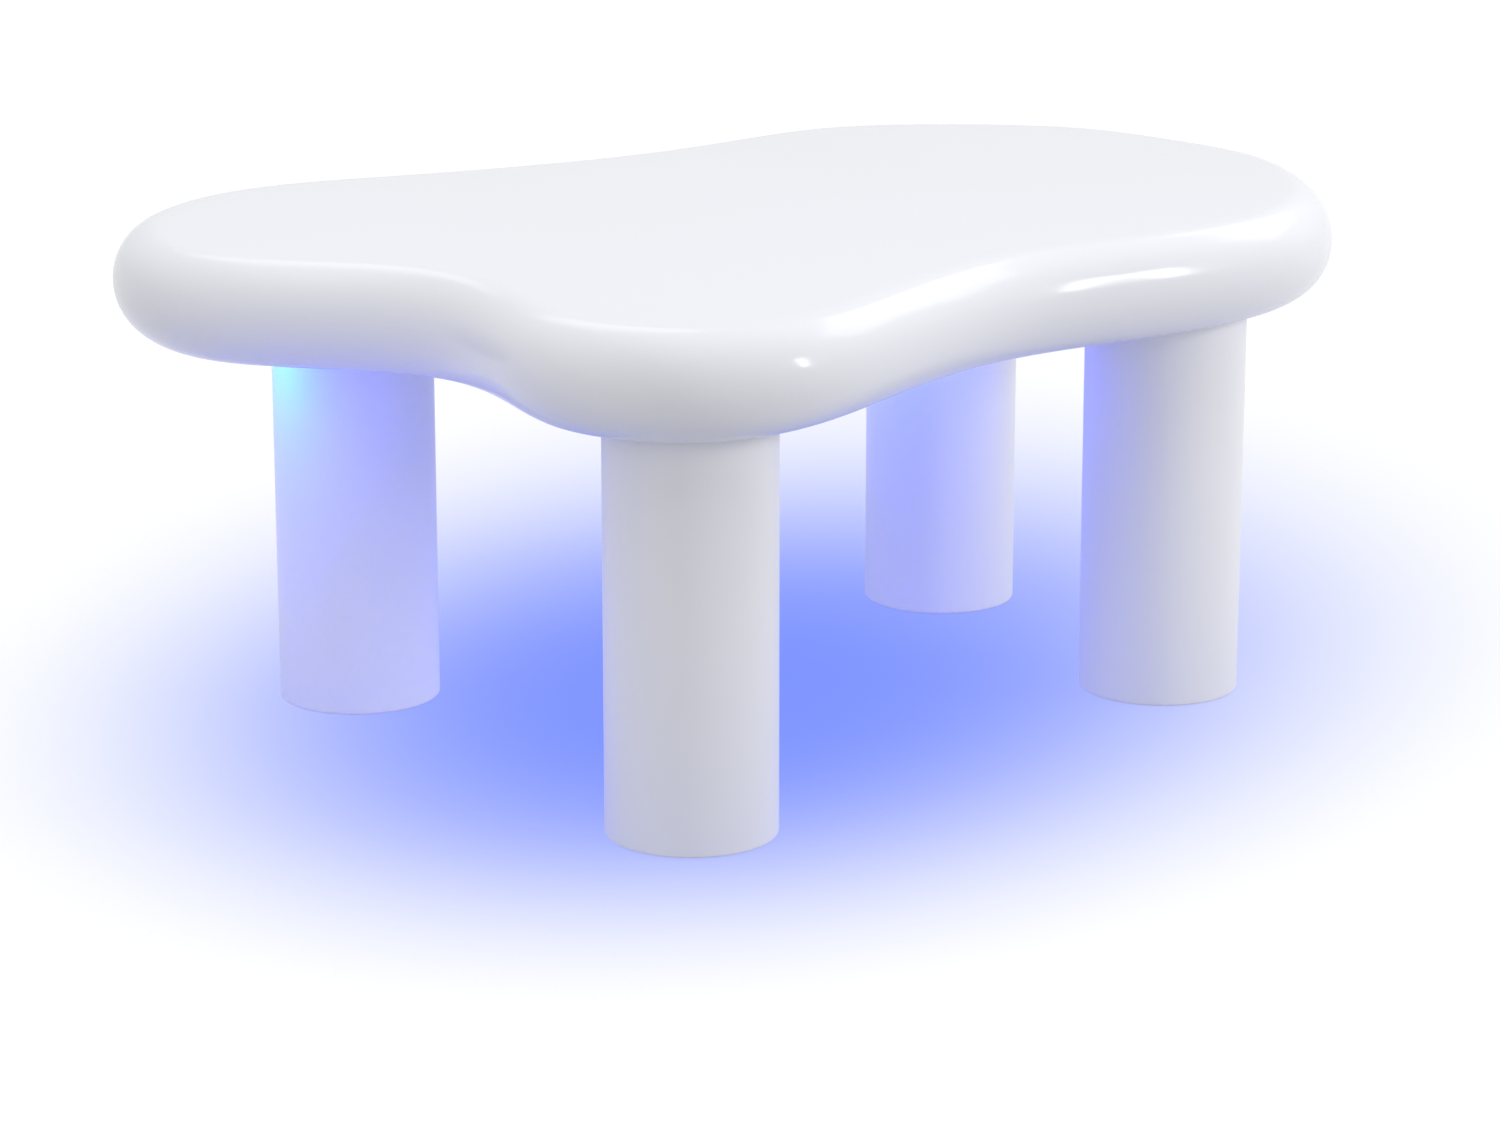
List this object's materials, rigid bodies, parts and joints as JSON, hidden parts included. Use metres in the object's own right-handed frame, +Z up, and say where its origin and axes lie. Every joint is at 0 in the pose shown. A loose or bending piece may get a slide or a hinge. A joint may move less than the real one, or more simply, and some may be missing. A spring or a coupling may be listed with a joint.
{
  "type": "light up led table",
  "caption": "Low cloud-shaped coffee table with a thick rounded top on plain round columns, lit from a light loop let into its underside.",
  "frame": {"origin": "on the floor, under the middle of the tabletop's plan", "axes": "+X along the table's length, +Y to its back, +Z up"},
  "size_m": [0.9651, 0.7372, 0.4],
  "materials": {
    "gloss_white_lacquer": "gloss lacquer",
    "satin_white_lacquer": "satin lacquer",
    "underside_paint": "matte paint",
    "bare_fibreboard": "bare",
    "zinc_plated_steel": "zinc plated",
    "brass": "turned",
    "foot_foam": "matte",
    "white_silicone": "satin",
    "strip_film": "satin",
    "lit_diffuser": "milky, lit from behind",
    "white_case_plastic": "fine texture",
    "grey_key_plastic": "satin",
    "board_laminate": "solder mask",
    "black_plastic": "satin",
    "lead_sheath": "satin"
  },
  "bodies": {
    "table": {"tabletop_shell": "gloss_white_lacquer", "underside_panel": "underside_paint", "panel_screw_1": "zinc_plated_steel", "panel_screw_2": "zinc_plated_steel", "panel_screw_3": "zinc_plated_steel", "panel_screw_4": "zinc_plated_steel", "panel_screw_5": "zinc_plated_steel", "panel_screw_6": "zinc_plated_steel", "panel_screw_7": "zinc_plated_steel", "panel_screw_8": "zinc_plated_steel", "long_rib": "bare_fibreboard", "cross_rib_front_left": "bare_fibreboard", "cross_rib_back_left": "bare_fibreboard", "cross_rib_front_right": "bare_fibreboard", "cross_rib_back_right": "bare_fibreboard", "back_left_block": "bare_fibreboard", "back_left_insert_nut": "brass", "back_left_column": "satin_white_lacquer", "back_left_top_plug": "bare_fibreboard", "back_left_foot_plug": "bare_fibreboard", "back_left_foot_pad": "foot_foam", "back_left_bolt": "zinc_plated_steel", "front_left_block": "bare_fibreboard", "front_left_insert_nut": "brass", "front_left_column": "satin_white_lacquer", "front_left_top_plug": "bare_fibreboard", "front_left_foot_plug": "bare_fibreboard", "front_left_foot_pad": "foot_foam", "front_left_bolt": "zinc_plated_steel", "back_right_block": "bare_fibreboard", "back_right_insert_nut": "brass", "back_right_column": "satin_white_lacquer", "back_right_top_plug": "bare_fibreboard", "back_right_foot_plug": "bare_fibreboard", "back_right_foot_pad": "foot_foam", "back_right_bolt": "zinc_plated_steel", "front_right_block": "bare_fibreboard", "front_right_insert_nut": "brass", "front_right_column": "satin_white_lacquer", "front_right_top_plug": "bare_fibreboard", "front_right_foot_plug": "bare_fibreboard", "front_right_foot_pad": "foot_foam", "front_right_bolt": "zinc_plated_steel", "light_channel": "white_silicone", "light_strip": "strip_film", "light_diffuser": "lit_diffuser", "controller_base": "white_case_plastic", "controller_case": "white_case_plastic", "controller_board": "board_laminate", "controller_screw_1": "zinc_plated_steel", "controller_screw_2": "zinc_plated_steel", "power_switch": "black_plastic", "colour_switch": "black_plastic", "brightness_switch": "black_plastic", "power_inlet": "black_plastic", "strip_lead": "lead_sheath"},
    "power_key": {"power_button": "grey_key_plastic"},
    "colour_key": {"colour_button": "grey_key_plastic"},
    "brightness_key": {"brightness_button": "grey_key_plastic"}
  },
  "joints": [
    {"name": "power_press", "type": "slide", "parent": "table", "child": "power_key", "axis": [0, 0, 1], "range_m": [0, 0.0008], "stiffness_N_per_m": 250},
    {"name": "colour_press", "type": "slide", "parent": "table", "child": "colour_key", "axis": [0, 0, 1], "range_m": [0, 0.0008], "stiffness_N_per_m": 250},
    {"name": "brightness_press", "type": "slide", "parent": "table", "child": "brightness_key", "axis": [0, 0, 1], "range_m": [0, 0.0008], "stiffness_N_per_m": 250}
  ]
}
